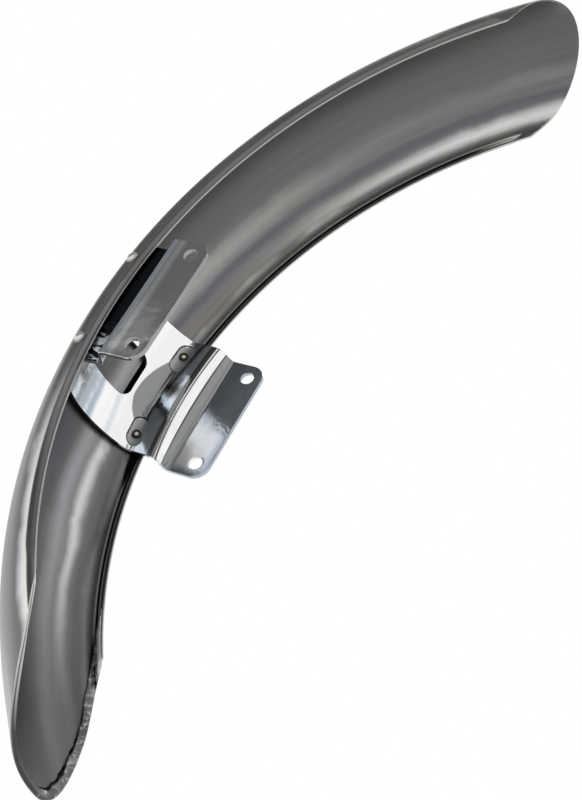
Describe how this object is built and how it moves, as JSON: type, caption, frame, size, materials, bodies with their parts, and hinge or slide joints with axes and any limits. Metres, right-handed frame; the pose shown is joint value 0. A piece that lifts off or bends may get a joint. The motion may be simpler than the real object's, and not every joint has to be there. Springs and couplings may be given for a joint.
{
  "type": "motorcycle front mudguard",
  "caption": "Bare steel motorcycle front mudguard with a crowned channel section, beaded side edges, slanted ends and a plated fork bracket riveted across its inside.",
  "frame": {"origin": "middle of the four fork bolts: on the mid plane between the two flanges, on the line through the bolt holes", "axes": "+X along the bolt line towards the front tip, +Y along the wheel axle to the left side of the motorcycle, +Z away from the axle, out through the crown"},
  "size_m": [0.5885, 0.116, 0.1883],
  "materials": {
    "bare_steel": "bare rolled steel, satin, with faint streaks along its length",
    "plated_steel": "bright zinc plate, smooth",
    "rivet_steel": "plain steel, dulled in the hollow tails"
  },
  "bodies": {
    "root": {"shell": "bare_steel", "saddle_bracket": "plated_steel", "rivets": "rivet_steel"}
  },
  "joints": []
}
